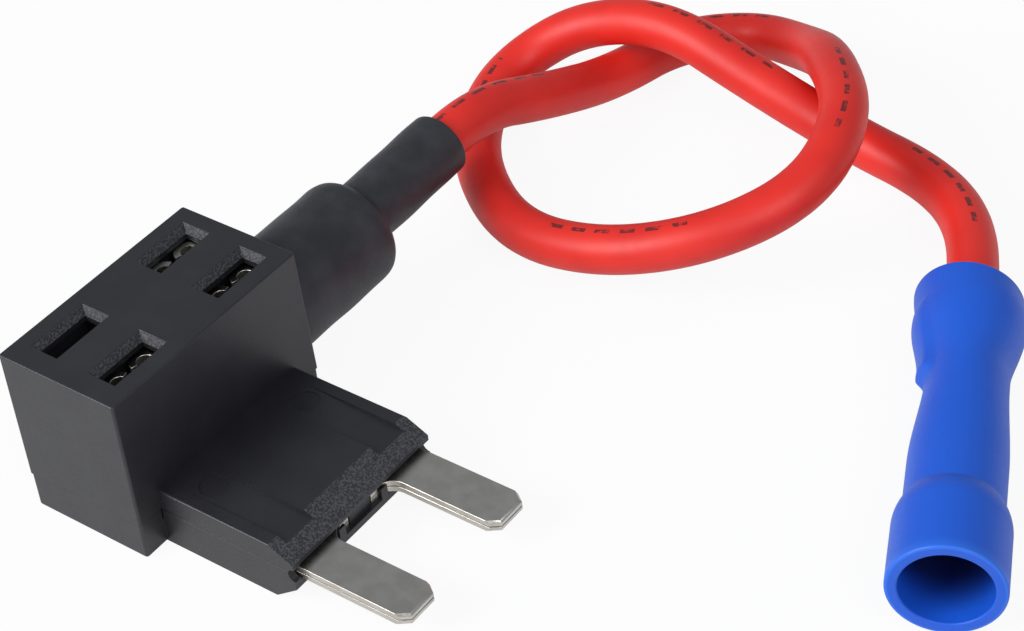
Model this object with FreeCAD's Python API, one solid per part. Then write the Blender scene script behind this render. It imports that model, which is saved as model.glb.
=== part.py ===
import FreeCAD, Part
import math
import os

from FreeCAD import Placement, Rotation, Vector

os.makedirs("parts", exist_ok=True)

# The frame: X runs along the socket block towards the lead, Y from the blades to the
# back of the block, Z up. The origin is on the surface that the tap lies on, below the
# middle of the edge where the tongue leaves the block. All sizes are in millimetres.

# Housing block and tongue
end_wall = 1.1
front_wall = 1.0
back_wall = 0.92
left_swell = 0.3
right_tuck = 0.02
right_lean = 0.35
lean_limit = 4.0
block_height = 11.4
block_edge_radius = 0.16
block_top_radius = 0.1
cover_height = 2.5
cover_inset = 0.05
cover_corner_radius = 0.2
cover_edge_radius = 0.15
tongue_root = 0.3
tongue_inset = 1.47
tongue_reach = 9.6
tongue_top = 3.87
tongue_edge_radius = 0.12
bevel_reach = 1.6
bevel_lip = 3.1
keel_bevel_height = 1.25
mouth_height = 0.3
mouth_depth = 0.7
rib_width = 1.6
rib_setback = 0.3
corner_notch_radius = 0.45
track_width = 2.3
track_depth = 0.3
track_length = 6.4
ejector_radius = 0.85
ejector_depth = 0.08
ejector_setback = 2.4

# Fuse sockets in the top of the block
socket_pitch = 8.5
fuse_row_pitch = 4.3
funnel_length = 4.2
funnel_width = 2.05
funnel_depth = 0.5
throat_length = 3.6
throat_width = 1.3
roof_thickness = 0.85
pocket_length = 4.3
pocket_width = 2.3

# Blade terminals, stamped from sheet that is folded double
sheet = 0.4
blade_pitch = 8.1
blade_width = 2.8
blade_reach = 16.82
blade_tip_cut_x = 0.43
blade_tip_cut_y = 0.58
blade_tip_bevel = 0.14
fold_line_height = 0.06
fold_line_depth = 0.14
shoulder_inner_edge = 1.0
shoulder_flare = 1.0
shoulder_start = 9.3
shoulder_steps = 6
plate_end = 0.6
channel_clearance = 0.1

# Rolled receptacles that grip the fuse blades
receptacle_width = 3.9
curl_radius = 0.9
curl_end_angle = 165.0
base_offset = 1.05
curl_bottom = 4.6
receptacle_gap = 0.12
strip_width = 3.4
strip_drop = 0.35

# Collar on the block's end, and what it holds
collar_centre_y = 4.05
collar_centre_z = 5.2
collar_radius = 2.95
collar_length = 8.4
collar_bore = 2.2
collar_bore_reach = 0.75
neck_height = 2.0
neck_jog = 0.9
crimp_setback = 1.4
crimp_length = 3.6
crimp_outer = 1.3
crimp_fit = 0.025
strand_showing = 0.5
grip_setback = 5.75
grip_length = 2.4
grip_outer = 1.98
strand_rings = 2
strand_pitch = 0.262
strand_gap = 0.01

# Lead: its insulation, and its route from the sleeve's mouth to the splice
lead_diameter = 3.1
lead_fit = 0.05
root_setback = 5.3
root_bend_x = 16.0
sleeve_mouth = (25.4, 3.77, 6.24)
lead_route = [
    sleeve_mouth,
    (29.16, 3.658, 6.656),
    (34.86, 2.5, 4.4),
    (41.66, 2.1, 1.8),
    (47.96, 0.8, 1.6),
    (51.46, -3.4, 1.6),
    (49.86, -8.3, 2.9),
    (45.06, -13.0, 6.5),
    (38.86, -17.9, 7.8),
    (32.16, -19.1, 6.9),
    (26.86, -15.5, 5.3),
    (24.16, -9.2, 3.4),
    (24.66, -2.0, 1.9),
    (29.16, 4.4, 1.8),
    (35.16, 8.0, 1.7),
    (40.06, 8.4, 2.3),
    (43.16, 5.0, 4.6),
    (43.56, -1.4, 6.4),
    (43.16, -8.2, 4.5),
    (43.36, -15.4, 2.2),
    (42.4, -21.9, 2.0),
    (38.82, -26.48, 2.6),
    (32.34, -30.02, 3.3),
]
arc_share = 0.45

# Heat-shrink sleeve over the collar and the lead
sleeve_wall_wide = 0.48
sleeve_wall_narrow = 0.53
sleeve_overlap = 0.5
sleeve_swell = 0.04
shoulder_length = 1.5
shoulder_round = 0.5
sleeve_start_gap = 0.05

# Butt splice: moulded insulator over a metal barrel
splice_mouth = (31.44, -30.43, 3.3)
splice_length = 23.1
splice_mouth_radius = 3.28
splice_open_radius = 3.3
splice_belly_radius = 2.78
splice_waist_width = 2.38
splice_waist_height = 2.75
splice_wall = 0.7
flare_length = 2.6
flare_slope = 1.5
waist_at = 7.2
belly_at = 12.8
open_flare_start = 16.8
open_flare_slope = 2.0
barrel_start = 5.4
barrel_length = 12.4
barrel_wall = 0.8
barrel_fit = 0.06
splice_lead_depth = 5.2
splice_strand_end = 9.2
splice_rim_radius = 0.25
slope_ease = 0.5
pinch_steps = 6

# Derived sizes
block_length = socket_pitch + pocket_length + 2 * end_wall
block_left = -block_length / 2 - left_swell
block_right = block_length / 2 - right_tuck
block_foot = block_right + right_lean
first_row = front_wall + pocket_width / 2
block_depth = first_row + fuse_row_pitch + pocket_width / 2 + back_wall
crimp_start = block_length / 2 + crimp_setback
grip_start = block_length / 2 + grip_setback
root_start = block_length / 2 + root_setback
tongue_half = block_length / 2 - tongue_inset
blade_top = cover_height
blade_thickness = 2 * sheet
blade_bottom = blade_top - blade_thickness
rows = (first_row, first_row + fuse_row_pitch)
pocket_roof = block_height - roof_thickness
receptacle_top = pocket_roof - receptacle_gap
lead_radius = lead_diameter / 2
pinch_start = flare_length + flare_slope
collar_end = block_length / 2 + collar_length
up = Vector(0, 0, 1)


def save(shape, name):
    """Write one node's solid to its STEP file."""
    shape.exportStep("parts/" + name + ".step")
    print(name, len(shape.Solids), round(shape.Volume, 3))


def box(low, high):
    """A box between two corners."""
    size = [b - a for a, b in zip(low, high)]
    return Part.makeBox(size[0], size[1], size[2], Vector(*low))


def prism_yz(outline, half_width):
    """An outline of (y, z) points carried along X, centred on the middle plane."""
    points = [Vector(-half_width, y, z) for y, z in outline]
    face = Part.Face(Part.makePolygon(points + points[:1]))
    return face.extrude(Vector(2 * half_width, 0, 0))


def prism_xy(outline, bottom, top):
    """An outline of (x, y) points carried up from one height to another."""
    points = [Vector(x, y, bottom) for x, y in outline]
    face = Part.Face(Part.makePolygon(points + points[:1]))
    return face.extrude(Vector(0, 0, top - bottom))


def edges_along(shape, direction):
    """The straight edges of a shape that run along a direction, or lean from it a little."""
    found = []
    for edge in shape.Edges:
        run = edge.lastVertex().Point - edge.firstVertex().Point
        if run.Length > 0 and abs(run.normalize().dot(direction)) > math.cos(math.radians(lean_limit)):
            found.append(edge)
    return found


def plate_outline(side, grow=0.0):
    """Plan of a blade terminal: blade, flared inner shoulder and plate, grown all round."""
    inner = blade_pitch / 2 - blade_width / 2 - grow
    outer = blade_pitch / 2 + blade_width / 2 + grow
    shoulder = shoulder_inner_edge - grow
    tip = -blade_reach - grow
    flare_y = -shoulder_start - grow
    corners = [
        (outer - blade_tip_cut_x, tip),
        (outer, tip + blade_tip_cut_y),
        (outer, plate_end + grow),
        (shoulder, plate_end + grow),
        (shoulder, flare_y),
    ]
    for step in range(1, shoulder_steps):
        turn = math.pi / 2 * step / shoulder_steps
        x = inner - shoulder_flare * (1 - math.sin(turn))
        corners.append((x, flare_y - shoulder_flare * (1 - math.cos(turn))))
    corners.append((inner, flare_y - shoulder_flare))
    corners += [(inner, tip + blade_tip_cut_y), (inner + blade_tip_cut_x, tip)]
    return [(side * x, y) for x, y in corners]


def receptacle(x, row, bottom):
    """A flat back with both edges rolled forward and in, to grip a fuse blade."""
    back = row - base_offset
    centre_y = back + curl_radius
    arm = receptacle_width / 2 - curl_radius
    shape = box((x - arm, back, bottom), (x + arm, back + sheet, receptacle_top))
    for side in (-1, 1):
        centre = Vector(x + side * arm, centre_y, curl_bottom)

        def on_ring(radius, degrees):
            turn = math.radians(degrees)
            return centre + Vector(side * radius * math.cos(turn), radius * math.sin(turn), 0)

        angles = (-90, (curl_end_angle - 90) / 2, curl_end_angle)
        outer = [on_ring(curl_radius, angle) for angle in angles]
        inner = [on_ring(curl_radius - sheet, angle) for angle in angles]
        edges = [
            Part.Arc(*outer).toShape(),
            Part.makeLine(outer[2], inner[2]),
            Part.Arc(*reversed(inner)).toShape(),
            Part.makeLine(inner[0], outer[0]),
        ]
        curl = Part.Face(Part.Wire(edges)).extrude(up * (receptacle_top - curl_bottom))
        shape = shape.fuse(curl)
    return shape.removeSplitter()


def blade_plate(side):
    """The doubled blade with its shoulder, a line all round where the two layers meet."""
    plate = prism_xy(plate_outline(side), blade_bottom, blade_top)
    tip_edges = []
    for edge in plate.Edges:
        at_tip = edge.CenterOfMass.y < -blade_reach + blade_tip_cut_y
        level = abs(edge.firstVertex().Z - edge.lastVertex().Z) < fold_line_height
        if at_tip and level:
            tip_edges.append(edge)
    plate = plate.makeChamfer(blade_tip_bevel, tip_edges)
    low = blade_bottom + sheet - fold_line_height / 2
    slit = prism_xy(plate_outline(side), low, low + fold_line_height)
    core = prism_xy(plate_outline(side, -fold_line_depth), low, low + fold_line_height)
    return plate.cut(slit.cut(core))


def foot(side, row, low, high):
    """One layer of the sheet, run back from the plate and turned up under a socket."""
    x = side * socket_pitch / 2
    half = strip_width / 2
    back = row - base_offset
    return box((x - half, plate_end, low), (x + half, back + sheet, high))


def supply_terminal():
    """Left blade, whose two layers part to feed both fuses on their left legs."""
    x = -socket_pitch / 2
    half = strip_width / 2
    shape = blade_plate(-1)
    shape = shape.fuse(foot(-1, rows[0], blade_bottom + sheet, blade_top))
    shape = shape.fuse(receptacle(x, rows[0], blade_bottom + sheet))
    shape = shape.fuse(foot(-1, rows[1], blade_bottom, blade_bottom + sheet))
    back = rows[1] - base_offset
    strip = box((x - half, back, blade_bottom), (x + half, back + sheet, receptacle_top - strip_drop))
    return shape.fuse(strip).removeSplitter()


def load_terminal():
    """Right blade, with the receptacle of the fuse that guards the old circuit."""
    shape = blade_plate(1)
    shape = shape.fuse(foot(1, rows[0], blade_bottom, blade_top))
    return shape.fuse(receptacle(socket_pitch / 2, rows[0], blade_bottom)).removeSplitter()


def ring(start, length, outer, inner):
    """A round tube along the collar's axis."""
    at = Vector(start, collar_centre_y, collar_centre_z)
    along = Vector(1, 0, 0)
    return Part.makeCylinder(outer, length, at, along).cut(Part.makeCylinder(inner, length, at, along))


def strand_corner():
    """From the middle of one pressed strand to a corner of its six-sided section."""
    return (strand_pitch - strand_gap) / math.sqrt(3)


def wire_terminal():
    """Receptacle of the new circuit, with a crimp on the strands and a grip on the lead."""
    x = socket_pitch / 2
    shape = receptacle(x, rows[1], cover_height)
    back = rows[1] - base_offset
    crimp_inner = strand_rings * strand_pitch + strand_corner() + crimp_fit
    strap_out = collar_centre_y + crimp_outer
    strap_in = strap_out - sheet
    low = collar_centre_z - neck_height / 2
    high = collar_centre_z + neck_height / 2
    edge = x + receptacle_width / 2 - curl_radius
    bend = block_length / 2
    neck = [
        (edge, back),
        (bend, back),
        (bend + neck_jog, strap_in),
        (grip_start + grip_length / 2, strap_in),
        (grip_start + grip_length / 2, strap_out),
        (bend + neck_jog, strap_out),
        (bend, back + sheet),
        (edge, back + sheet),
    ]
    strap = prism_xy(neck, low, high)
    hollow = Part.makeCylinder(
        lead_radius + lead_fit,
        grip_start + grip_length - root_start + lead_fit,
        Vector(root_start - lead_fit, collar_centre_y, collar_centre_z),
        Vector(1, 0, 0),
    )
    core = Part.makeCylinder(
        crimp_inner,
        root_start - bend,
        Vector(bend, collar_centre_y, collar_centre_z),
        Vector(1, 0, 0),
    )
    shape = shape.fuse(strap.cut(hollow).cut(core))
    shape = shape.fuse(ring(crimp_start, crimp_length, crimp_outer, crimp_inner))
    shape = shape.fuse(ring(grip_start, grip_length, grip_outer, lead_radius + lead_fit))
    return shape.removeSplitter()


def strands(start, direction, length):
    """A bundle of strands, ring on ring, that a crimp has pressed into six-sided shapes."""
    side = direction.cross(up).normalize()
    high = side.cross(direction).normalize()
    bundle = []
    for row in range(-strand_rings, strand_rings + 1):
        first = max(-strand_rings, -strand_rings - row)
        last = min(strand_rings, strand_rings - row)
        for place in range(first, last + 1):
            across = strand_pitch * (place + row / 2)
            raised = strand_pitch * row * math.cos(math.radians(30))
            centre = start + side * across + high * raised
            points = []
            for corner in range(6):
                turn = math.radians(60 * corner + 30)
                reach = side * math.cos(turn) + high * math.sin(turn)
                points.append(centre + reach * strand_corner())
            outline = Part.Face(Part.makePolygon(points + points[:1]))
            bundle.append(outline.extrude(direction * length))
    return Part.makeCompound(bundle)


def fuse_all(shapes):
    """Join a list of solids into one shape."""
    first = shapes[0]
    for other in shapes[1:]:
        first = first.fuse(other)
    return first


def upper_housing():
    """Block with four funnelled sockets, the tongue's upper half and the lead's collar."""
    block = leaning_block()
    block = block.makeFillet(block_edge_radius, edges_along(block, up))
    rim = [edge for edge in block.Edges if edge.BoundBox.ZMin > block_height - block_top_radius]
    block = block.makeFillet(block_top_radius, rim)
    tongue = prism_yz(
        [
            (tongue_root, cover_height),
            (tongue_root, tongue_top),
            (bevel_reach - tongue_reach, tongue_top),
            (-tongue_reach, bevel_lip),
            (-tongue_reach, cover_height),
        ],
        tongue_half,
    )
    tongue = tongue.makeFillet(tongue_edge_radius, upper_side_edges(tongue))
    shape = block.fuse(tongue)
    collar_root = block_right - cover_inset
    collar = Part.makeCylinder(
        collar_radius,
        collar_end - collar_root,
        Vector(collar_root, collar_centre_y, collar_centre_z),
        Vector(1, 0, 0),
    )
    clear_of_cover = box((collar_root, 0, 0), (block_foot - cover_inset, block_depth, cover_height))
    shape = shape.fuse(collar.cut(clear_of_cover))
    for side in (-1, 1):
        for row in rows:
            shape = shape.cut(socket(side * socket_pitch / 2, row))
        shape = shape.cut(track(side))
    shape = shape.cut(mouth())
    shape = shape.cut(collar_hollow())
    return shape.removeSplitter()


def leaning_block():
    """The block above the seam: its right face leans out to the foot, for the mould."""
    outlines = []
    for right, z in ((block_foot, cover_height), (block_right, block_height)):
        corners = [(block_left, 0), (right, 0), (right, block_depth), (block_left, block_depth)]
        points = [Vector(x, y, z) for x, y in corners]
        outlines.append(Part.makePolygon(points + points[:1]))
    return Part.makeLoft(outlines, True, True)


def upper_side_edges(tongue):
    """The long top edges of the tongue, left and right."""
    found = []
    for edge in edges_along(tongue, Vector(0, 1, 0)):
        if edge.CenterOfMass.z > tongue_top - tongue_edge_radius:
            found.append(edge)
    return found


def socket(x, row):
    """One fuse socket: a funnel, a short throat and the pocket below them."""
    top = rectangle(x, row, funnel_length, funnel_width, block_height)
    bottom = rectangle(x, row, throat_length, throat_width, block_height - funnel_depth)
    funnel = Part.makeLoft([top, bottom], True, True)
    throat = box(
        (x - throat_length / 2, row - throat_width / 2, pocket_roof),
        (x + throat_length / 2, row + throat_width / 2, block_height - funnel_depth),
    )
    pocket = box(
        (x - pocket_length / 2, row - pocket_width / 2, cover_height),
        (x + pocket_length / 2, row + pocket_width / 2, pocket_roof),
    )
    return funnel.fuse(throat).fuse(pocket)


def rectangle(x, y, length, width, z):
    """A level rectangle about a centre, as a closed wire."""
    corners = []
    for side_x, side_y in ((-1, -1), (1, -1), (1, 1), (-1, 1)):
        corners.append(Vector(x + side_x * length / 2, y + side_y * width / 2, z))
    return Part.makePolygon(corners + corners[:1])


def track(side):
    """A shallow track over one blade, deepening to the front, and its ejector mark."""
    x = side * blade_pitch / 2
    back = bevel_reach - tongue_reach + track_length
    slope = track_depth / track_length
    front = -tongue_reach
    outline = [
        (back, tongue_top),
        (back, tongue_top + track_depth),
        (front, tongue_top + track_depth),
        (front, tongue_top - slope * (back - front)),
    ]
    wedge = prism_yz(outline, track_width / 2)
    wedge.translate(Vector(x, 0, 0))
    mark_floor = tongue_top - ejector_depth
    mark = Part.makeCylinder(ejector_radius, track_depth, Vector(x, -ejector_setback, mark_floor))
    return wedge.fuse(mark)


def mouth():
    """Relief over the blades where they leave the tongue, with a notch at each corner."""
    reach = blade_pitch / 2 + blade_width / 2
    shape = box(
        (-reach, -tongue_reach, cover_height),
        (reach, -tongue_reach + mouth_depth, cover_height + mouth_height),
    )
    return shape.fuse(corner_notches())


def corner_notches():
    """Round notches in the tongue's side walls at its front corners."""
    shapes = []
    for side in (-1, 1):
        inside = side * (blade_pitch / 2 + blade_width / 2 - channel_clearance)
        length = tongue_half - abs(inside) + channel_clearance
        start = Vector(inside, -tongue_reach, cover_height - corner_notch_radius / 2)
        shapes.append(Part.makeCylinder(corner_notch_radius, length, start, Vector(side, 0, 0)))
    return fuse_all(shapes)


def collar_hollow():
    """Bore of the collar, and the slot that lets the terminal's neck into it."""
    start = block_length / 2 - collar_bore_reach
    bore = Part.makeCylinder(
        collar_bore,
        collar_end - start,
        Vector(start, collar_centre_y, collar_centre_z),
        Vector(1, 0, 0),
    )
    back = rows[1] - base_offset
    low = collar_centre_z - neck_height / 2 - channel_clearance
    high = collar_centre_z + neck_height / 2 + channel_clearance
    slot = box(
        (socket_pitch / 2 + pocket_length / 2 - channel_clearance, back - channel_clearance, low),
        (start + channel_clearance, back + sheet + channel_clearance, high),
    )
    return bore.fuse(slot)


def bottom_cover():
    """Floor of block and tongue in one plate, with a channel for each blade terminal."""
    body = box(
        (block_left + cover_inset, cover_inset, 0),
        (block_foot - cover_inset, block_depth - cover_inset, cover_height),
    )
    body = body.makeFillet(cover_corner_radius, edges_along(body, up))
    rim = [edge for edge in body.Edges if edge.BoundBox.ZMax < cover_edge_radius]
    body = body.makeFillet(cover_edge_radius, rim)
    keel = prism_yz(
        [
            (tongue_root + cover_inset, 0),
            (tongue_root + cover_inset, cover_height),
            (-tongue_reach, cover_height),
            (-tongue_reach, keel_bevel_height),
            (bevel_reach - tongue_reach, 0),
        ],
        tongue_half,
    )
    shape = body.fuse(keel)
    for side in (-1, 1):
        channel = prism_xy(plate_outline(side, channel_clearance), blade_bottom, cover_height)
        shape = shape.cut(channel)
        x = side * socket_pitch / 2
        wide = strip_width / 2 + channel_clearance
        back = rows[1] - base_offset + sheet + channel_clearance
        shape = shape.cut(box((x - wide, 0, blade_bottom), (x + wide, back, cover_height)))
    front = box(
        (-rib_width, -tongue_reach, blade_bottom),
        (rib_width, -tongue_reach + rib_setback, cover_height),
    )
    return shape.cut(front).cut(corner_notches()).removeSplitter()


def rounded_path(points):
    """Straight runs through the points joined by tangent arcs; also radii and length."""
    corners = [Vector(*point) for point in points]
    edges = []
    radii = []
    start = corners[0]
    for before, corner, after in zip(corners, corners[1:], corners[2:]):
        back = before - corner
        ahead = after - corner
        trim = arc_share * min(back.Length, ahead.Length)
        back.normalize()
        ahead.normalize()
        half_turn = (math.pi - back.getAngle(ahead)) / 2
        radius = trim / math.tan(half_turn)
        radii.append(radius)
        enter = corner + back * trim
        leave = corner + ahead * trim
        inward = (back + ahead).normalize()
        middle = corner + inward * (radius / math.cos(half_turn) - radius)
        edges.append(Part.LineSegment(start, enter).toShape())
        edges.append(Part.Arc(enter, middle, leave).toShape())
        start = leave
    edges.append(Part.LineSegment(start, corners[-1]).toShape())
    return Part.Wire(edges), radii


def tube(points, radius, name):
    """A round solid along a rounded path, with its size checked against its length."""
    path, radii = rounded_path(points)
    heading = (Vector(*points[1]) - Vector(*points[0])).normalize()
    profile = Part.Wire(Part.Circle(Vector(*points[0]), heading, radius).toShape())
    solid = path.makePipeShell([profile], True, False)
    expected = math.pi * radius**2 * path.Length
    print(name, "length", round(path.Length, 2), "radii", [round(value, 1) for value in radii])
    print(name, "swept share", round(solid.Volume / expected, 4))
    return solid


def root_points():
    """The lead inside the sleeve: level in the collar, then rising to the mouth."""
    return [
        (root_start, collar_centre_y, collar_centre_z),
        (root_bend_x, collar_centre_y, collar_centre_z),
        sleeve_mouth,
    ]


def turned_flare(start, end, start_radius, end_radius, ease):
    """A solid turned about X whose radius eases from one value to another."""
    curve = Part.BSplineCurve()
    curve.buildFromPoles(
        [
            Vector(start, 0, start_radius),
            Vector(start + ease, 0, start_radius),
            Vector(end - ease, 0, end_radius),
            Vector(end, 0, end_radius),
        ]
    )
    edges = [
        Part.makeLine(Vector(start, 0, 0), Vector(start, 0, start_radius)),
        curve.toShape(),
        Part.makeLine(Vector(end, 0, end_radius), Vector(end, 0, 0)),
        Part.makeLine(Vector(end, 0, 0), Vector(start, 0, 0)),
    ]
    return Part.Face(Part.Wire(edges)).revolve(Vector(0, 0, 0), Vector(1, 0, 0), 360)


def heat_shrink_sleeve():
    """Black sleeve shrunk over the collar, then stepped down tight on to the lead."""
    along = Vector(1, 0, 0)
    wide = collar_radius + lead_fit + sleeve_wall_wide
    narrow = lead_radius + lead_fit + sleeve_wall_narrow
    start = block_foot + sleeve_start_gap
    crest = collar_end + sleeve_overlap
    end = crest + shoulder_length
    brim = wide + sleeve_swell
    axis = Vector(0, collar_centre_y, collar_centre_z)
    barrel = Part.makeCone(wide, brim, crest - start, Vector(start, 0, 0), along)
    outer = barrel.fuse(turned_flare(crest, end, brim, narrow, shoulder_round))
    outer.translate(axis)
    body = outer.fuse(tube(root_points(), narrow, "sleeve tail"))
    seat_radius = collar_radius + lead_fit
    seat_end = collar_end + lead_fit
    seat = Part.makeCylinder(seat_radius, seat_end - start, Vector(start, 0, 0), along)
    step = Part.makeCone(seat_radius, lead_radius + lead_fit, shoulder_length, Vector(seat_end, 0, 0), along)
    hollow = seat.fuse(step)
    hollow.translate(axis)
    bore = tube(root_points(), lead_radius + lead_fit, "sleeve bore")
    return body.cut(hollow).cut(bore).removeSplitter()


def splice_frame():
    """Placement whose X runs from the splice's lead end to its open end."""
    heading = Vector(*splice_mouth) - Vector(*lead_route[-1])
    return Placement(Vector(*splice_mouth), Rotation(Vector(1, 0, 0), heading))


def pinch_size(at):
    """Half width and half height of the insulator where the crimp has pinched it."""
    if at < waist_at:
        share = (at - pinch_start) / (waist_at - pinch_start)
    else:
        share = (belly_at - at) / (belly_at - waist_at)
    ease = share * share * (3 - 2 * share)
    width = splice_belly_radius + (splice_waist_width - splice_belly_radius) * ease
    height = splice_belly_radius + (splice_waist_height - splice_belly_radius) * ease
    return width, height


def pinch_loft(start, inward):
    """The pinched stretch up to the belly, skinned over ovals a depth inside the surface."""
    wires = []
    for step in range(pinch_steps + 1):
        at = start + (belly_at - start) * step / pinch_steps
        width, height = pinch_size(at)
        circle = Part.Circle(Vector(0, 0, 0), Vector(1, 0, 0), 1).toBSpline()
        matrix = FreeCAD.Matrix()
        matrix.scale(1, width - inward, height - inward)
        matrix.move(Vector(at, 0, 0))
        wires.append(Part.Wire(circle.toShape().transformGeometry(matrix)))
    return Part.makeLoft(wires, True, True)


def turned_rod(start, end, radius):
    """A round rod along X."""
    return Part.makeCylinder(radius, end - start, Vector(start, 0, 0), Vector(1, 0, 0))


def splice_form(inward):
    """The insulator's whole outline as a solid, a depth inside its surface."""
    mouth = splice_mouth_radius - inward
    belly = splice_belly_radius - inward
    open_end = splice_open_radius - inward
    slope_end = open_flare_start + open_flare_slope
    pieces = [
        turned_rod(0, flare_length, mouth),
        turned_flare(flare_length, pinch_start, mouth, belly, slope_ease),
        pinch_loft(pinch_start, inward),
        turned_rod(belly_at, open_flare_start, belly),
        turned_flare(open_flare_start, slope_end, belly, open_end, slope_ease),
        turned_rod(slope_end, splice_length, open_end),
    ]
    return fuse_all(pieces)


def splice_insulator():
    """Moulded sleeve with a flare at each end, pinched where the lead is crimped."""
    outer = splice_form(0)
    rims = []
    for edge in outer.Edges:
        box = edge.BoundBox
        at_mouth = box.XMax < splice_rim_radius
        at_open_end = box.XMin > splice_length - splice_rim_radius
        if at_mouth or at_open_end:
            rims.append(edge)
    shape = outer.makeFillet(splice_rim_radius, rims).cut(splice_form(splice_wall))
    return shape.transformed(splice_frame().toMatrix())


def splice_barrel():
    """Tinned metal barrel that fits the insulator's bore, crimped over the strands."""
    end = barrel_start + barrel_length
    shapes = []
    for depth in (splice_wall + barrel_fit, splice_wall + barrel_fit + barrel_wall):
        tail = turned_rod(belly_at, end, splice_belly_radius - depth)
        shapes.append(pinch_loft(barrel_start, depth).fuse(tail))
    return shapes[0].cut(shapes[1]).transformed(splice_frame().toMatrix())


def lead_points():
    """The whole route of the free lead, ending against the splice's barrel."""
    end = splice_frame().multVec(Vector(splice_lead_depth, 0, 0))
    return lead_route + [(end.x, end.y, end.z)]


def tap_strands():
    """The lead's bared conductor in the terminal's crimp."""
    start = crimp_start - strand_showing
    at = Vector(start, collar_centre_y, collar_centre_z)
    return strands(at, Vector(1, 0, 0), root_start - start)


def splice_strands():
    """The lead's bared conductor at its far end, under the barrel's crimp."""
    frame = splice_frame()
    start = frame.multVec(Vector(splice_lead_depth, 0, 0))
    along = frame.Rotation.multVec(Vector(1, 0, 0))
    return strands(start, along, splice_strand_end - splice_lead_depth)


save(upper_housing(), "upper_housing")
save(bottom_cover(), "bottom_cover")
save(supply_terminal(), "supply_terminal")
save(load_terminal(), "load_terminal")
save(wire_terminal(), "wire_terminal")
save(tap_strands(), "tap_strands")
save(tube(root_points(), lead_radius, "lead root"), "lead_root")
save(heat_shrink_sleeve(), "heat_shrink_sleeve")
save(tube(lead_points(), lead_radius, "lead"), "red_lead")
save(splice_insulator(), "splice_insulator")
save(splice_barrel(), "splice_barrel")
save(splice_strands(), "splice_strands")
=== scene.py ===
import math

import bmesh
import bpy
import numpy as np
from mathutils import Matrix, Vector


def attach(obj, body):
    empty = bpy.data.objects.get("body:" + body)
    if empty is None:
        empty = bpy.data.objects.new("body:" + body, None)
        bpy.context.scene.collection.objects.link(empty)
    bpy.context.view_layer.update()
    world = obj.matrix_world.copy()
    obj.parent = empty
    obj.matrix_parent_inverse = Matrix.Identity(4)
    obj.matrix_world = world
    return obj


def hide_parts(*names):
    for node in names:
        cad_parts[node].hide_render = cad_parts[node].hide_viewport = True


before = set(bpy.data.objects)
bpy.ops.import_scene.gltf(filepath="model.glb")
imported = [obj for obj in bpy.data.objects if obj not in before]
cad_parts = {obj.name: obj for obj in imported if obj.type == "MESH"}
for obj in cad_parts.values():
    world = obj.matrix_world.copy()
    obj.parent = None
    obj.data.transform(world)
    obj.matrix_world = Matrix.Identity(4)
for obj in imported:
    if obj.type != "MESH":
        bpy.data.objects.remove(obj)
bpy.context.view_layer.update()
mm = 0.001


# The camera looks down at the tap from its left front corner, turned a little about its own axis.
eye = Vector((-71.566, -80.321, 99.403)) * mm
aim = Vector((17.046, -7.518, 3.0)) * mm
camera_roll = -5.6336
camera_lens = 88.528
camera_sensor = 36.0
nearest_seen = 5.0
camera_data = bpy.data.cameras.new("camera")
camera_data.lens = camera_lens
camera_data.sensor_width = camera_sensor
camera_data.clip_start = nearest_seen * mm
camera = bpy.data.objects.new("camera", camera_data)
turn = (aim - eye).to_track_quat("-Z", "Y").to_matrix().to_4x4()
roll = Matrix.Rotation(math.radians(camera_roll), 4, "Z")
camera.matrix_world = Matrix.Translation(eye) @ turn @ roll
bpy.context.scene.collection.objects.link(camera)
bpy.context.scene.camera = camera


# The lead is a soft vinyl-covered wire, 3.1 mm across, that leaves the black sleeve and lies in one
# loose overhand knot on the surface. It is extruded round, goes a hair flatter where it bends, and
# carries groups of small plain printed dashes.
lead_diameter = 3.1
lead_route = [
    (25.4, 3.77, 6.24),
    (29.16, 3.658, 6.656),
    (34.86, 2.5, 4.4),
    (41.66, 2.1, 1.8),
    (47.96, 0.8, 1.6),
    (51.46, -3.4, 1.6),
    (49.86, -8.3, 2.9),
    (45.06, -13.0, 6.5),
    (38.86, -17.9, 7.8),
    (32.16, -19.1, 6.9),
    (26.86, -15.5, 5.3),
    (24.16, -9.2, 3.4),
    (24.66, -2.0, 1.9),
    (29.16, 4.4, 1.8),
    (35.16, 8.0, 1.7),
    (40.06, 8.4, 2.3),
    (43.16, 5.0, 4.6),
    (43.56, -1.4, 6.4),
    (43.16, -8.2, 4.5),
    (43.36, -15.4, 2.2),
    (42.4, -21.9, 2.0),
    (38.82, -26.48, 2.6),
    (32.34, -30.02, 3.3),
    (26.708, -32.586, 3.3),
]
lead_step = 0.25
lead_around = 40
bend_flattening = 0.035
vinyl_red = (0.78, 0.022, 0.012)
vinyl_shade = (0.68, 0.015, 0.009)
print_colour = (0.16, 0.012, 0.012)
print_group = 21.0
print_share = 0.46
dash_pitch = 1.7
dash_share = 0.6
print_side = 0.27
dash_half_width = 0.017
print_worn = (0.3, 0.5)
vinyl_ior = 1.52
vinyl_grain = 0.35
vinyl_grain_depth = 0.005
vinyl_roughness = 0.42
vinyl_grain_roughness = 0.14
vinyl_cloud = 5.0
vinyl_cloud_edge = (0.3, 0.7)
route_fineness = 32
lead_crease = 60


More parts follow.
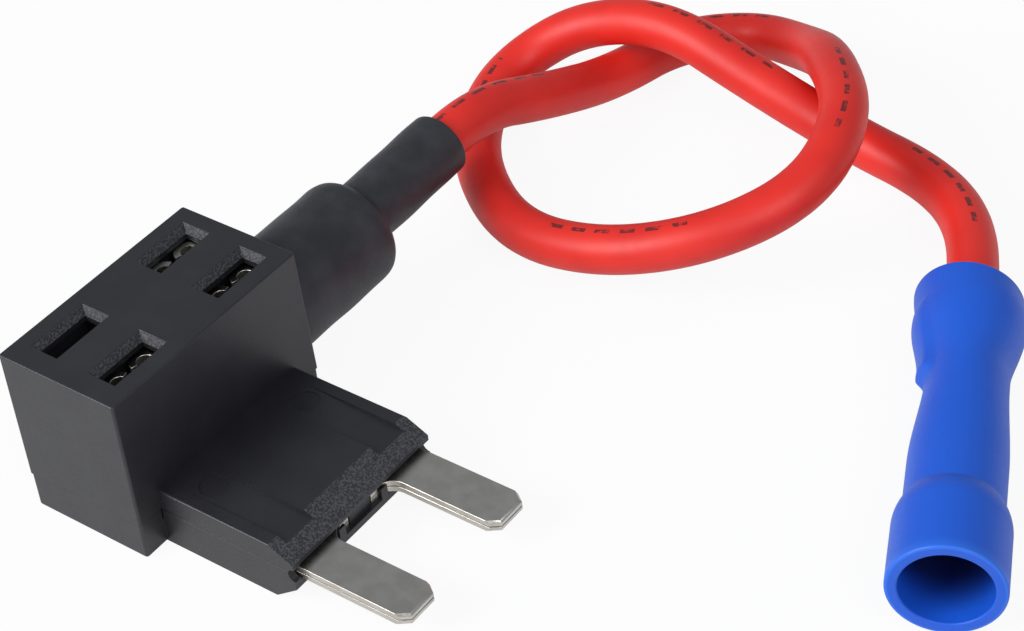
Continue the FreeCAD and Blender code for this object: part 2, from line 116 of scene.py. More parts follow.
def spline_line(route, fineness):
    """The smooth line of a route, in millimetres: a quadratic NURBS with the route as control points."""
    curve = bpy.data.curves.new("route", "CURVE")
    curve.dimensions = "3D"
    curve.resolution_u = fineness
    spline = curve.splines.new("NURBS")
    spline.points.add(len(route) - 1)
    for point, place in zip(spline.points, route):
        point.co = (*place, 1)
    spline.order_u = 3
    spline.use_endpoint_u = True
    holder = bpy.data.objects.new("route", curve)
    mesh = bpy.data.meshes.new_from_object(holder)
    line = np.empty(len(mesh.vertices) * 3)
    mesh.vertices.foreach_get("co", line)
    bpy.data.objects.remove(holder)
    bpy.data.curves.remove(curve)
    bpy.data.meshes.remove(mesh)
    return line.reshape(-1, 3)


def evenly(line, step):
    """The same line with its points an equal distance apart, and the distance along to each."""
    along = np.concatenate([[0], np.cumsum(np.linalg.norm(np.diff(line, axis=0), axis=1))])
    places = np.linspace(0, along[-1], round(along[-1] / step) + 1)
    return np.stack([np.interp(places, along, line[:, axis]) for axis in range(3)], axis=1), places


def headings_of(line):
    """The unit heading at each point of a line."""
    heading = np.gradient(line, axis=0)
    return heading / np.linalg.norm(heading, axis=1, keepdims=True)


def ring_points(line, heading, half_width, half_height, around):
    """Rings about a line that never stands upright: at each point an oval, half_width to its level side
    and half_height to its raised side, by centre + side*width*cos(turn) + raised*height*sin(turn). The
    half sizes are one number a ring, or one a point."""
    side = np.cross(heading, (0, 0, 1))
    side /= np.linalg.norm(side, axis=1, keepdims=True)
    raised = np.cross(side, heading)
    turn = 2 * np.pi * np.arange(around) / around
    width = np.reshape(half_width, (len(line), -1)) * np.cos(turn)
    height = np.reshape(half_height, (len(line), -1)) * np.sin(turn)
    return line[:, None, :] + side[:, None, :] * width[:, :, None] + raised[:, None, :] * height[:, :, None]


def grid_mesh(name, points, along, closed_along=False):
    """A surface from a grid of points in millimetres: rings along it, each closed round itself. Faces
    turn outwards where each ring starts at its level side and rises. The UV map holds the distance
    along and the share of a turn round. A grid that is open along gets a flat cap at each end."""
    rings, around = points.shape[:2]
    steps = rings if closed_along else rings - 1
    ring, place = np.meshgrid(np.arange(steps), np.arange(around), indexing="ij")
    corners = [(ring, place), (ring + 1, place), (ring + 1, place + 1), (ring, place + 1)]
    quads = np.stack([(r % rings) * around + p % around for r, p in corners], axis=-1).reshape(-1, 4)
    faces = quads.tolist()
    if not closed_along:
        last = (rings - 1) * around
        faces += [list(range(around)), list(range(last + around - 1, last - 1, -1))]
    mesh = bpy.data.meshes.new(name)
    mesh.from_pydata((points.reshape(-1, 3) * mm).tolist(), [], faces)
    where = np.stack([np.stack([along[r % rings], p / around], axis=-1) for r, p in corners], axis=-2)
    uv = np.zeros((len(mesh.loops), 2), dtype=np.float32)
    uv[: quads.size] = where.reshape(-1, 2)
    mesh.uv_layers.new(name="along_and_round").data.foreach_set("uv", uv.ravel())
    return mesh


def piece_from(name, mesh, material, crisp_over):
    """A smooth-shaded piece made of a mesh, crisp at edges that turn by more than an angle in degrees."""
    mesh.shade_smooth()
    mesh.set_sharp_from_angle(angle=math.radians(crisp_over))
    mesh.materials.clear()
    mesh.materials.append(material)
    piece = bpy.data.objects.new(name, mesh)
    bpy.context.scene.collection.objects.link(piece)
    return piece


def shader_node(tree, kind, inputs, **settings):
    """A node of a material with its settings; an input takes a plain value or another node's output."""
    made = tree.nodes.new("ShaderNode" + kind)
    for name, value in settings.items():
        setattr(made, name, value)
    for name, value in inputs.items():
        if isinstance(value, bpy.types.NodeSocket):
            tree.links.new(value, made.inputs[name])
        else:
            made.inputs[name].default_value = value
    return made


def maths(tree, operation, *terms):
    """One step of arithmetic on numbers or outputs."""
    return shader_node(tree, "Math", dict(enumerate(terms)), operation=operation).outputs[0]


def rising(tree, value, low, high):
    """0 below low and 1 above high, with a smooth slope between."""
    inputs = {"Value": value, "From Min": low, "From Max": high}
    return shader_node(tree, "MapRange", inputs, interpolation_type="SMOOTHSTEP").outputs[0]


def between(tree, value, low, high, ease):
    """1 between two limits and 0 outside them, easing over a short way across each."""
    falling = maths(tree, "SUBTRACT", 1.0, rising(tree, value, high - ease, high + ease))
    return maths(tree, "MULTIPLY", rising(tree, value, low - ease, low + ease), falling)


def blended(tree, share, first, second):
    """A colour between two, by a share from 0 to 1."""
    return shader_node(tree, "Mix", {0: share, 6: first, 7: second}, data_type="RGBA").outputs[2]


def cloudy(tree, place, lump, detail=2.0):
    """Smooth noise about 0.5 whose lumps are about so many millimetres across."""
    inputs = {"Vector": place, "Scale": 1 / (lump * mm), "Detail": detail}
    return shader_node(tree, "TexNoise", inputs).outputs[0]


def opaque(colour):
    """A colour with full cover."""
    return (*colour, 1.0)


def dusted(tree, place, colour, cell, share):
    """The colour with tiny pale specks: a dot in the middle of some cells of an irregular net."""
    dot_size = 0.05
    dust = (0.33, 0.33, 0.34)
    net = shader_node(tree, "TexVoronoi", {"Vector": place, "Scale": 1 / (cell * mm)})
    chance = shader_node(tree, "SeparateColor", {0: net.outputs["Color"]}).outputs[0]
    dot = maths(tree, "LESS_THAN", net.outputs["Distance"], dot_size)
    speck = maths(tree, "MULTIPLY", dot, maths(tree, "LESS_THAN", chance, share))
    return blended(tree, speck, colour, opaque(dust))


def new_finish(name, levels):
    """A material with its shader's fixed levels set; returned with its node tree and shader."""
    material = bpy.data.materials.new(name)
    material.use_nodes = True
    shader = material.node_tree.nodes["Principled BSDF"]
    for socket, level in levels.items():
        shader.inputs[socket].default_value = level
    return material, material.node_tree, shader


def bumped(tree, shader, height, depth):
    """Raises the shader's surface by a height from 0 to 1 times a depth in millimetres."""
    bump = shader_node(tree, "Bump", {"Height": height, "Distance": depth * mm})
    tree.links.new(bump.outputs[0], shader.inputs["Normal"])


def roughened(tree, shader, grain, least, added):
    """Sets the shader's roughness: a least value, and as much more as the grain is high."""
    tree.links.new(maths(tree, "MULTIPLY_ADD", grain, added, least), shader.inputs["Roughness"])


def object_place(tree):
    """Each point's place in the object's own frame, in metres."""
    return shader_node(tree, "TexCoord", {}).outputs["Object"]


def red_vinyl_finish():
    """Extruded vinyl: faint clouds and orange peel, a satin gloss, and groups of printed dashes."""
    material, tree, shader = new_finish("red_vinyl", {"IOR": vinyl_ior})
    where = shader_node(tree, "UVMap", {}, uv_map="along_and_round").outputs[0]
    parts = shader_node(tree, "SeparateXYZ", {0: where})
    along, around = parts.outputs[0], parts.outputs[1]
    place = object_place(tree)
    fine = cloudy(tree, place, vinyl_grain)
    in_group = maths(tree, "FRACT", maths(tree, "DIVIDE", along, print_group))
    in_dash = maths(tree, "FRACT", maths(tree, "DIVIDE", along, dash_pitch))
    off_line = maths(tree, "ABSOLUTE", maths(tree, "SUBTRACT", around, print_side))
    group = maths(tree, "LESS_THAN", in_group, print_share)
    dash = maths(tree, "LESS_THAN", in_dash, dash_share)
    ink = maths(tree, "MULTIPLY", maths(tree, "MULTIPLY", group, dash), rising(tree, fine, *print_worn))
    ink = maths(tree, "MULTIPLY", ink, maths(tree, "LESS_THAN", off_line, dash_half_width))
    cloud = rising(tree, cloudy(tree, place, vinyl_cloud), *vinyl_cloud_edge)
    base = blended(tree, cloud, opaque(vinyl_shade), opaque(vinyl_red))
    tree.links.new(blended(tree, ink, base, opaque(print_colour)), shader.inputs["Base Color"])
    roughened(tree, shader, fine, vinyl_roughness, vinyl_grain_roughness)
    bumped(tree, shader, fine, vinyl_grain_depth)
    return material


red_vinyl = red_vinyl_finish()
lead_line, lead_along = evenly(spline_line(lead_route, route_fineness), lead_step)
lead_heading = headings_of(lead_line)
bend = np.linalg.norm(np.gradient(lead_heading, axis=0), axis=1)
lead_radius = lead_diameter / 2
lead_height = lead_radius * (1 - bend_flattening * bend / bend.max())
lead_width = np.full(len(lead_line), lead_radius)
lead_rings = ring_points(lead_line, lead_heading, lead_width, lead_height, lead_around)
lead_mesh = grid_mesh("red_lead_tube", lead_rings, lead_along)
lead = piece_from("red_lead_tube", lead_mesh, red_vinyl, lead_crease)
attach(lead, "root")
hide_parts("red_lead")


# The lead's start inside the sleeve is the same vinyl, drawn from the sleeve's mouth to the collar.
def dressed(node, material):
    """Gives a CAD node its finish."""
    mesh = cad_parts[node].data
    mesh.materials.clear()
    mesh.materials.append(material)


dressed("lead_root", red_vinyl)


# The black sleeve is heat-shrink tube: polyolefin shrunk over the housing's collar, from where it draws
# down over a rounded shoulder and grips the lead. It shrinks a little uneven and has a matt bloom.
collar_middle = (4.05, 5.2)
collar_end = 15.9
sleeve_start = 7.88
sleeve_bend = 16.0
bend_softness = 1.2
sleeve_wide = 3.53
sleeve_narrow = 2.12
shoulder_from = 15.5
shoulder_to = 17.5
shoulder_power = 3.0
shoulder_curve = 0.66
shoulder_blur = 0.14
pulled_aside = 0.14
sagging = -0.035
pulled_from = 16.4
pulled_most = 18.2
sleeve_seat = 3.0
sleeve_bore = 1.6
bore_narrowed = 17.4
lip_round = 0.16
sleeve_step = 0.09
sleeve_around = 96
sleeve_waver = 0.014
waver_along = (1.7, 0.9)
waver_round = (2, -3)
blur_reach = 2
blur_steps = 9
lip_steps = 7
heading_step = 0.01
sleeve_crease = 50
sleeve_ior = 1.5
sleeve_grain = 0.22
sleeve_grain_depth = 0.012
sleeve_roughness = 0.4
sleeve_grain_roughness = 0.2
bloom_size = 2.2
bloom_edge = (0.3, 0.75)
sleeve_dust_cell = 1.6
sleeve_dust_share = 0.1
sleeve_black = (0.017, 0.017, 0.021)
sleeve_bloom = (0.036, 0.036, 0.043)


def sleeve_axis(x):
    """The sleeve's middle line: level along the collar, then leaning to its mouth, by a run of
    (past + root(past*past + softness*softness)) / 2 for a distance past the bend."""
    past = x - sleeve_bend
    share = (past + np.sqrt(past**2 + bend_softness**2)) / 2 / (lead_route[0][0] - sleeve_bend)
    y = collar_middle[0] + (lead_route[0][1] - collar_middle[0]) * share
    z = collar_middle[1] + (lead_route[0][2] - collar_middle[1]) * share
    return np.stack([x, y, z], axis=1)


def sleeve_outside(x):
    """The outer radius: wide, then narrow + (wide - narrow) * (1 - t^power)^curve down the shoulder, and
    narrow past it, all blurred by a narrow bell so that the shoulder runs in softly at both ends."""
    offsets = np.linspace(-blur_reach, blur_reach, blur_steps) * shoulder_blur
    weights = np.exp(-((offsets / shoulder_blur) ** 2) / 2)
    share = np.clip((x[:, None] + offsets - shoulder_from) / (shoulder_to - shoulder_from), 0, 1)
    radius = sleeve_narrow + (sleeve_wide - sleeve_narrow) * (1 - share**shoulder_power) ** shoulder_curve
    return (radius * weights).sum(axis=1) / weights.sum()


def sleeve_finish():
    """Polyolefin: dark and matt, with a cloudy bloom, fine grain and a few dust specks."""
    material, tree, shader = new_finish("shrink_tubing", {"IOR": sleeve_ior})
    place = object_place(tree)
    fine = cloudy(tree, place, sleeve_grain, detail=3.0)
    bloom = rising(tree, cloudy(tree, place, bloom_size, detail=4.0), *bloom_edge)
    colour = blended(tree, bloom, opaque(sleeve_black), opaque(sleeve_bloom))
    colour = dusted(tree, place, colour, sleeve_dust_cell, sleeve_dust_share)
    tree.links.new(colour, shader.inputs["Base Color"])
    roughened(tree, shader, fine, sleeve_roughness, sleeve_grain_roughness)
    bumped(tree, shader, fine, sleeve_grain_depth)
    return material


mouth_x = lead_route[0][0]
lip_turn = np.linspace(0, np.pi / 2, lip_steps)
lip_x = mouth_x - lip_round * (1 - np.sin(lip_turn))
outer_x = np.arange(sleeve_start, lip_x[0], sleeve_step)
inner_x = np.arange(mouth_x, sleeve_start, -sleeve_step)
inner_x[-1] = sleeve_start
sleeve_x = np.concatenate([outer_x, lip_x, inner_x])
inner_radius = np.interp(inner_x, [collar_end, bore_narrowed], [sleeve_seat, sleeve_bore])
lip_radius = sleeve_narrow - lip_round * (1 - np.cos(lip_turn))
sleeve_radius = np.concatenate([sleeve_outside(outer_x), lip_radius, inner_radius])
is_outer = np.arange(len(sleeve_x)) < len(outer_x) + len(lip_x)
sleeve_heading = sleeve_axis(sleeve_x + heading_step) - sleeve_axis(sleeve_x - heading_step)
sleeve_heading /= np.linalg.norm(sleeve_heading, axis=1, keepdims=True)
sleeve_line = sleeve_axis(sleeve_x)
pulled = np.interp(sleeve_x, [pulled_from, pulled_most, mouth_x], [sagging, pulled_aside, 0]) * is_outer
sleeve_line[:, 1] += pulled
sleeve_line[:, 2] += pulled
sleeve_turn = 2 * np.pi * np.arange(sleeve_around) / sleeve_around
waver = np.zeros((len(sleeve_x), sleeve_around))
for along_rate, round_rate in zip(waver_along, waver_round):
    waver += np.sin(sleeve_x[:, None] * along_rate + round_rate * sleeve_turn)
sleeve_size = sleeve_radius[:, None] + sleeve_waver * waver * is_outer[:, None]
sleeve_rings = ring_points(sleeve_line, sleeve_heading, sleeve_size, sleeve_size, sleeve_around)
sleeve_mesh = grid_mesh("shrunk_sleeve", sleeve_rings, sleeve_x, closed_along=True)
sleeve = piece_from("shrunk_sleeve", sleeve_mesh, sleeve_finish(), sleeve_crease)
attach(sleeve, "root")
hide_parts("heat_shrink_sleeve")


# The splice's insulator is soft blue vinyl, moulded round with a flare at each end. Its crimp has
# squeezed the near half narrow and pushed a bulge with a crease out at one side.
splice_mouth = np.array((31.44, -30.43, 3.3))
splice_way = np.array((-0.91002, -0.414565, 0.0))
splice_reach = 23.1
mouth_half = 3.22
waist_half_width = 2.38
waist_half_height = 2.75
waist_from = 2.0
waist_at = 6.8
belly_half = 2.77
belly_from = 7.2
belly_at = 14.0
open_half = 3.23
flare_from = 17.2
flare_to = 18.9
splice_wall = 0.7
rim_round = 0.13
mouth_slant = 0.06
slant_reach = 3.0
mouth_aside = 0.2
waist_aside = -0.1
bulge_from = 1.8
bulge_to = 7.4
bulge_size = 0.56
bulge_middle = 0.24
bulge_turn = 0.42
bulge_growth = 0.6
bulge_run_out = (-0.5, 0.4)
bulge_edge = (-0.12, 0.04)
rim_steps = 7
bore_offset = 1.0
splice_step = 0.1
splice_around = 96
vinyl_blue = (0.004, 0.088, 0.60)
vinyl_blue_pale = (0.02, 0.15, 0.74)
painted_bore_shade = (0.002, 0.012, 0.13)
blue_ior = 1.5
blue_grain = 0.3
blue_grain_depth = 0.006
blue_roughness = 0.4
blue_grain_roughness = 0.16
blue_cloud = 3.0
pale_from = -0.9
pale_full = 0.1
rim_pale_share = 0.75
cloud_pale_share = 0.25
bore_shade_from = 1.2
bore_shade_full = 5.0
blue_dust_cell = 2.2
blue_dust_share = 0.08
splice_crease = 50


def eased(value, low, high):
    """0 below low and 1 above high, by t*t*(3 - 2t) between."""
    share = np.clip((value - low) / (high - low), 0, 1)
    return share**2 * (3 - 2 * share)


def flare_at(s):
    """The open end's flare from 0 to 1: it starts with a crease, by t*(2 - t), and runs out level."""
    share = np.clip((s - flare_from) / (flare_to - flare_from), 0, 1)
    return share * (2 - share)


def splice_half_width(s):
    """The half width along the splice: mouth, pinched waist, belly and open flare."""
    waist = mouth_half - (mouth_half - waist_half_width) * eased(s, waist_from, waist_at)
    belly = (belly_half - waist_half_width) * eased(s, belly_from, belly_at)
    return waist + belly + (open_half - belly_half) * flare_at(s)


def splice_half_height(s):
    """The half height along the splice: mouth, level middle and open flare."""
    middle = mouth_half - (mouth_half - waist_half_height) * eased(s, waist_from, waist_at)
    return middle + (open_half - waist_half_height) * flare_at(s)


def blue_vinyl_finish():
    """Moulded vinyl: a satin deep blue, paler at the open rim, with painted shade down the bore, and fine
    grain.
    """
    material, tree, shader = new_finish("blue_vinyl", {"IOR": blue_ior})
    where = shader_node(tree, "UVMap", {}, uv_map="along_and_round").outputs[0]
    along = shader_node(tree, "SeparateXYZ", {0: where}).outputs[0]
    place = object_place(tree)
    fine = cloudy(tree, place, blue_grain, detail=3.0)
    cloud = cloudy(tree, place, blue_cloud)
    toward_open_rim = rising(tree, along, splice_reach + pale_from, splice_reach + pale_full)
    past = maths(tree, "LESS_THAN", along, splice_reach + rim_round)
    pale = maths(tree, "MULTIPLY", maths(tree, "MULTIPLY", toward_open_rim, past), rim_pale_share)
    pale = maths(tree, "MULTIPLY_ADD", cloud, cloud_pale_share, pale)
    colour = blended(tree, pale, opaque(vinyl_blue), opaque(vinyl_blue_pale))
    colour = dusted(tree, place, colour, blue_dust_cell, blue_dust_share)
    # Painted shade: the colour darkens down the bore from the rim inwards.
    bore_shade = rising(tree, along, splice_reach + bore_shade_from, splice_reach + bore_shade_full)
    colour = blended(tree, bore_shade, colour, opaque(painted_bore_shade))
    tree.links.new(colour, shader.inputs["Base Color"])
    roughened(tree, shader, fine, blue_roughness, blue_grain_roughness)
    bumped(tree, shader, fine, blue_grain_depth)
    return material


round_turn = np.linspace(0, np.pi / 2, rim_steps)
back_off = rim_round * (1 - np.sin(round_turn))
draw_in = rim_round * (1 - np.cos(round_turn))
outer_s = np.arange(rim_round + splice_step, splice_reach - rim_round, splice_step)
inner_s = outer_s[::-1]
splice_s = np.concatenate([
    back_off[::-1],
    outer_s,
    splice_reach - back_off,
    splice_reach - back_off[::-1],
    inner_s,
    back_off,
])
inward = np.concatenate([
    draw_in[::-1],
    np.zeros(len(outer_s)),
    draw_in,
    splice_wall - draw_in[::-1],
    np.full(len(inner_s), splice_wall),
    splice_wall - draw_in,
])
is_outside = np.arange(len(splice_s)) < len(round_turn) * 2 + len(outer_s)
splice_turn = 2 * np.pi * np.arange(splice_around) / splice_around
turn_off_bulge = np.abs((splice_turn - bulge_middle + np.pi) % (2 * np.pi) - np.pi)
bulge_share = np.clip((splice_s - bulge_from) / (bulge_to - bulge_from), 0, 1)
bulge_end = [bulge_to + run for run in bulge_run_out]
bulge_limit = [bulge_turn + turned for turned in bulge_edge]
bulge_along = bulge_share**bulge_growth * (1 - eased(splice_s, *bulge_end)) * is_outside
bulge_round = 1 - eased(turn_off_bulge, *bulge_limit)
bulge = bulge_size * bulge_along[:, None] * bulge_round
splice_width = (splice_half_width(splice_s) - inward)[:, None] + bulge
splice_height = splice_half_height(splice_s) - inward
aside = mouth_aside * (1 - eased(splice_s, 0, waist_from))
aside += waist_aside * (eased(splice_s, waist_from, waist_at) - eased(splice_s, belly_from, belly_at))
aside *= is_outside
splice_side = np.cross(splice_way, (0, 0, 1))
splice_line = splice_mouth + splice_s[:, None] * splice_way + aside[:, None] * splice_side
splice_heading = np.tile(splice_way, (len(splice_s), 1))
splice_rings = ring_points(splice_line, splice_heading, splice_width, splice_height, splice_around)
slant = -mouth_slant * (splice_width * np.cos(splice_turn)) * (1 - eased(splice_s, 0, slant_reach))[:, None]
splice_rings += slant[:, :, None] * splice_way
splice_along = np.where(is_outside, splice_s, 2 * splice_reach + bore_offset - splice_s)
splice_mesh = grid_mesh("blue_insulator", splice_rings, splice_along, closed_along=True)
insulator = piece_from("blue_insulator", splice_mesh, blue_vinyl_finish(), splice_crease)
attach(insulator, "root")
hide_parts("splice_insulator")


# The upper housing is one black nylon moulding, with smooth flat walls and the rough skin of a
# spark-eroded mould in the funnels and on the tongue's bevel. Its edges are worn a hair round.
nylon_black = (0.013, 0.0125, 0.0165)
nylon_grey = (0.032, 0.032, 0.038)
worn_edge = 0.05
seam_height = 2.5
seam_half = 0.07
seam_wander = 0.12
funnel_low = 10.87
funnel_high = 11.37
funnels_from = (-7.35, 0.2)
funnels_to = (7.25, 8.35)
bevel_foot = -9.6
bevel_lip = 3.1
bevel_reach = 1.6
tongue_top = 3.87
bevel_slope = (tongue_top - bevel_lip) / bevel_reach
bevel_band = 0.06
bevel_root = -7.95
mask_ease = 0.02
mask_ease_up = 0.01
painted_seam_shade = (0.001, 0.001, 0.001)
painted_seam_shade_share = 0.9
seam_lump = 1.1
seam_relief = -4.0
nylon_ior = 1.58
nylon_grain = 0.16
nylon_grain_depth = 0.009
nylon_roughness = 0.36
nylon_grain_roughness = 0.16
nylon_cloud = 2.6
nylon_cloud_edge = (0.35, 0.75)
nylon_cloud_share = 0.22
nylon_dust_cell = 2.0
nylon_dust_share = 0.12
sparkle_grain = 0.13
painted_glint_edge = (0.4, 0.66)
painted_glint_share = 0.8
painted_glint_grey = (0.07, 0.07, 0.082)
texture_roughness = 0.2
texture_relief = 5.0


def nylon_finish(name, textured):
    """Black nylon: near-black with clouds, a fine skin, dust, painted shade along the seam, and specks of
    painted glint on the rough skin where the mould is textured."""
    material, tree, shader = new_finish(name, {"IOR": nylon_ior})
    place = object_place(tree)
    parts = shader_node(tree, "SeparateXYZ", {0: place})
    x, y, z = [maths(tree, "DIVIDE", parts.outputs[axis], mm) for axis in range(3)]
    fine = cloudy(tree, place, nylon_grain, detail=4.0)
    cloud = rising(tree, cloudy(tree, place, nylon_cloud, detail=3.0), *nylon_cloud_edge)
    cloud = maths(tree, "MULTIPLY", cloud, nylon_cloud_share)
    base = blended(tree, cloud, opaque(nylon_black), opaque(nylon_grey))
    base = dusted(tree, place, base, nylon_dust_cell, nylon_dust_share)
    # Painted shade along the seam where housing and cover meet, with a groove bumped in under it.
    lumps = cloudy(tree, place, seam_lump, detail=3.0)
    wander = maths(tree, "MULTIPLY_ADD", lumps, seam_wander, seam_height - seam_wander / 2)
    off_seam = maths(tree, "ABSOLUTE", maths(tree, "SUBTRACT", z, wander))
    seam = maths(tree, "SUBTRACT", 1.0, rising(tree, off_seam, seam_half / 2, seam_half))
    base = blended(tree, maths(tree, "MULTIPLY", seam, painted_seam_shade_share), base, opaque(painted_seam_shade))
    rough = maths(tree, "MULTIPLY_ADD", fine, nylon_grain_roughness, nylon_roughness)
    height = maths(tree, "MULTIPLY_ADD", seam, seam_relief, fine)
    if textured:
        in_x = between(tree, x, funnels_from[0], funnels_to[0], mask_ease)
        in_y = between(tree, y, funnels_from[1], funnels_to[1], mask_ease)
        in_z = between(tree, z, funnel_low, funnel_high, mask_ease_up)
        funnels = maths(tree, "MULTIPLY", maths(tree, "MULTIPLY", in_x, in_y), in_z)
        plane = maths(tree, "MULTIPLY_ADD", y, bevel_slope, bevel_lip - bevel_foot * bevel_slope)
        off_plane = maths(tree, "ABSOLUTE", maths(tree, "SUBTRACT", z, plane))
        near_plane = maths(tree, "LESS_THAN", off_plane, bevel_band)
        bevel = maths(tree, "MULTIPLY", near_plane, maths(tree, "LESS_THAN", y, bevel_root))
        skin = maths(tree, "MAXIMUM", funnels, bevel)
        # Specks of painted glint: the rough skin turns a paler grey where the sparkle noise is high.
        sparkle = cloudy(tree, place, sparkle_grain, detail=1.0)
        painted_glint = maths(tree, "MULTIPLY", skin, rising(tree, sparkle, *painted_glint_edge))
        base = blended(tree, maths(tree, "MULTIPLY", painted_glint, painted_glint_share), base, opaque(painted_glint_grey))
        rough = maths(tree, "MULTIPLY_ADD", skin, texture_roughness, rough)
        texture = maths(tree, "MULTIPLY", skin, sparkle)
        height = maths(tree, "MULTIPLY_ADD", texture, texture_relief, height)
    tree.links.new(base, shader.inputs["Base Color"])
    tree.links.new(rough, shader.inputs["Roughness"])
    bumped(tree, shader, height, nylon_grain_depth)
    return material


def worn_copy(name, node, material, width):
    """A copy of a CAD node with its seams merged, its flats joined and its edges rounded by a hair."""
    flat_within = 0.5
    same_place = 0.002
    sharp_over = 38
    rounding_steps = 2
    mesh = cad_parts[node].data.copy()
    shape = bmesh.new()
    shape.from_mesh(mesh)
    bmesh.ops.remove_doubles(shape, verts=shape.verts, dist=same_place * mm)
    bmesh.ops.dissolve_limit(
        shape,
        angle_limit=math.radians(flat_within),
        verts=shape.verts,
        edges=shape.edges,
        delimit={"SHARP"},
    )
    shape.to_mesh(mesh)
    shape.free()
    piece = piece_from(name, mesh, material, sharp_over)
    rounding = piece.modifiers.new("worn_edges", "BEVEL")
    rounding.width = width * mm
    rounding.segments = rounding_steps
    rounding.limit_method = "ANGLE"
    rounding.angle_limit = math.radians(sharp_over)
    evened = piece.modifiers.new("evened_shading", "WEIGHTED_NORMAL")
    evened.keep_sharp = True
    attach(piece, "root")
    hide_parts(node)


housing_nylon = nylon_finish("black_nylon", textured=True)
worn_copy("moulded_housing", "upper_housing", housing_nylon, worn_edge)


# The bottom cover is moulded of the same nylon and closes the housing from below. It has no rough skin, and
# the seam round it shows as a thin line of painted shade over a shallow bumped groove.
cover_nylon = nylon_finish("cover_nylon", textured=False)
worn_copy("moulded_cover", "bottom_cover", cover_nylon, worn_edge)


# The terminals are tinned brass sheet, folded double for the blades and rolled into receptacles. Their
# edges are worn a hair round, and the sheet has fine rolling lines. The wires and the splice's barrel
# have the same tin.
tin_light = (0.63, 0.60, 0.55)
tin_dark = (0.55, 0.515, 0.46)
roll_top = 10.427
lit_roll = (0.0, 4.3)
painted_roll_shade = (0.04, 0.038, 0.036)
stamped_edge = 0.03
tin_stretch = (1.0, 0.07, 1.0)
tin_line = 0.12
tin_line_depth = 0.004
tin_roughness = 0.24
tin_line_roughness = 0.2
tin_mottle = 0.9
tin_mottle_edge = (0.3, 0.75)


def tin_finish(name):
    """Tin plate: warm mottled grey, half matt, with fine rolling lines along the blades, and painted shade
    on the rolled receptacles' upper ends, apart from the one that catches the light."""
    material, tree, shader = new_finish(name, {"Metallic": 1.0})
    place = object_place(tree)
    stretched = shader_node(tree, "Mapping", {"Vector": place, "Scale": tin_stretch}).outputs[0]
    lines = cloudy(tree, stretched, tin_line, detail=3.0)
    mottle = rising(tree, cloudy(tree, place, tin_mottle, detail=3.0), *tin_mottle_edge)
    colour = blended(tree, mottle, opaque(tin_light), opaque(tin_dark))
    # Painted shade: the rolls' upper ends are coloured dark, all but the one that catches the light.
    parts = shader_node(tree, "SeparateXYZ", {0: place})
    on_top = maths(tree, "GREATER_THAN", parts.outputs[2], roll_top * mm)
    lit_x = maths(tree, "GREATER_THAN", parts.outputs[0], lit_roll[0] * mm)
    lit_y = maths(tree, "GREATER_THAN", parts.outputs[1], lit_roll[1] * mm)
    unlit = maths(tree, "SUBTRACT", 1.0, maths(tree, "MULTIPLY", lit_x, lit_y))
    colour = blended(tree, maths(tree, "MULTIPLY", on_top, unlit), colour, opaque(painted_roll_shade))
    tree.links.new(colour, shader.inputs["Base Color"])
    roughened(tree, shader, lines, tin_roughness, tin_line_roughness)
    bumped(tree, shader, lines, tin_line_depth)
    return material


tin_plate = tin_finish("tin_plate")
for terminal in ("supply_terminal", "load_terminal", "wire_terminal"):
    worn_copy(terminal + "_stamping", terminal, tin_plate, stamped_edge)
for wires in ("tap_strands", "splice_strands", "splice_barrel"):
    dressed(wires, tin_plate)


# The surface the tap lies on shows plain white wherever it is seen, mirrored or seen through, with the
# tap's shadow laid over it faintly.
floor_half = 3000.0
floor_grey = (0.8, 0.8, 0.8)
glow_white = (1.0, 1.0, 1.0)
shadow_share = 0.08
mirrored_shading = 0.6


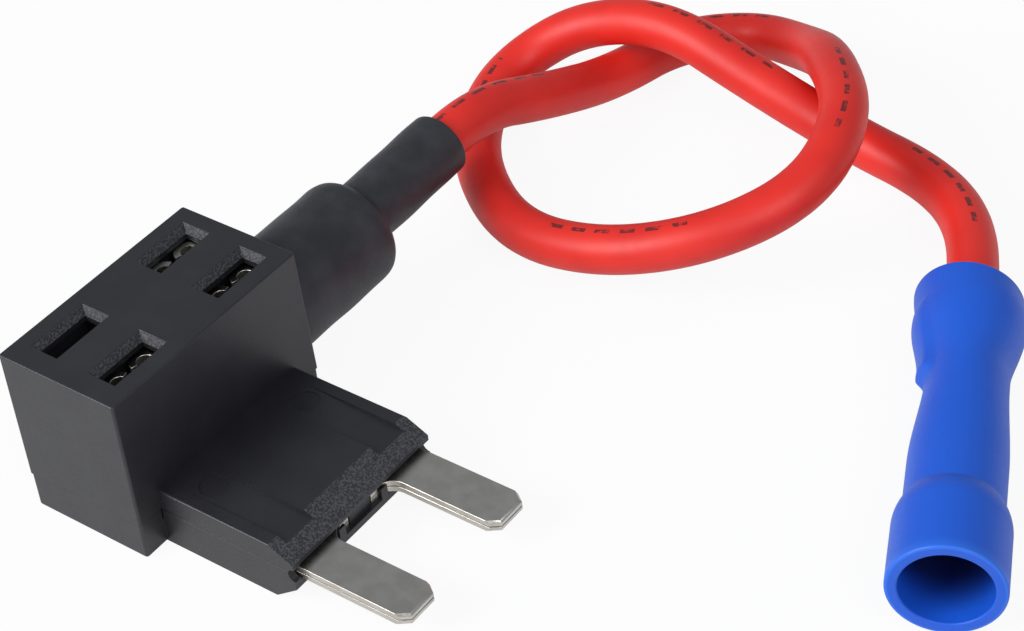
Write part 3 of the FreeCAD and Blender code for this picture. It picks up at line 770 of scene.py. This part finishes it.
def floor_finish():
    """A matt white that glows flatly to the eye, so that only a faint part of its shading shows."""
    material = bpy.data.materials.new("white_floor")
    material.use_nodes = True
    tree = material.node_tree
    tree.nodes.clear()
    path = shader_node(tree, "LightPath", {})
    mirrored = path.outputs["Is Glossy Ray"]
    seen = maths(tree, "MAXIMUM", path.outputs["Is Camera Ray"], mirrored)
    seen = maths(tree, "MAXIMUM", seen, path.outputs["Is Transmission Ray"])
    share = maths(tree, "MULTIPLY_ADD", mirrored, mirrored_shading - shadow_share, shadow_share)
    matt = shader_node(tree, "BsdfDiffuse", {"Color": opaque(floor_grey)}).outputs[0]
    glow = shader_node(tree, "Emission", {"Color": opaque(glow_white)}).outputs[0]
    faint = shader_node(tree, "MixShader", {0: share, 1: glow, 2: matt}).outputs[0]
    shown = shader_node(tree, "MixShader", {0: seen, 1: matt, 2: faint}).outputs[0]
    shader_node(tree, "OutputMaterial", {0: shown})
    return material


corner = floor_half * mm
floor_mesh = bpy.data.meshes.new("floor")
floor_corners = [(-corner, -corner, 0), (corner, -corner, 0), (corner, corner, 0), (-corner, corner, 0)]
floor_mesh.from_pydata(floor_corners, [], [(0, 1, 2, 3)])
floor_mesh.materials.append(floor_finish())
floor = bpy.data.objects.new("floor", floor_mesh)
bpy.context.scene.collection.objects.link(floor)


# The light is a white tent: soft from all round, with a large box at the left, behind the block, and a
# weaker one in front.
tent_colour = (0.86, 0.93, 1.0)
tent_strength = 0.35
lamp_aim = (10.0, -8.0, 3.0)
world = bpy.data.worlds.new("studio")
world.use_nodes = True
world.node_tree.nodes["Background"].inputs["Color"].default_value = opaque(tent_colour)
world.node_tree.nodes["Background"].inputs["Strength"].default_value = tent_strength
bpy.context.scene.world = world


def softbox(name, place, size, power):
    """A square area lamp, placed and sized in millimetres, that faces the tap."""
    data = bpy.data.lights.new(name, "AREA")
    data.shape = "SQUARE"
    data.size = size * mm
    data.energy = power
    lamp = bpy.data.objects.new(name, data)
    lamp.location = Vector(place) * mm
    lamp.rotation_euler = (Vector(lamp_aim) - Vector(place)).to_track_quat("-Z", "Y").to_euler()
    bpy.context.scene.collection.objects.link(lamp)


softbox("left_softbox", place=(-380, 200, 300), size=320, power=2.6)
softbox("front_softbox", place=(-150, -380, 400), size=320, power=1.0)
bpy.context.scene.view_settings.view_transform = "Standard"
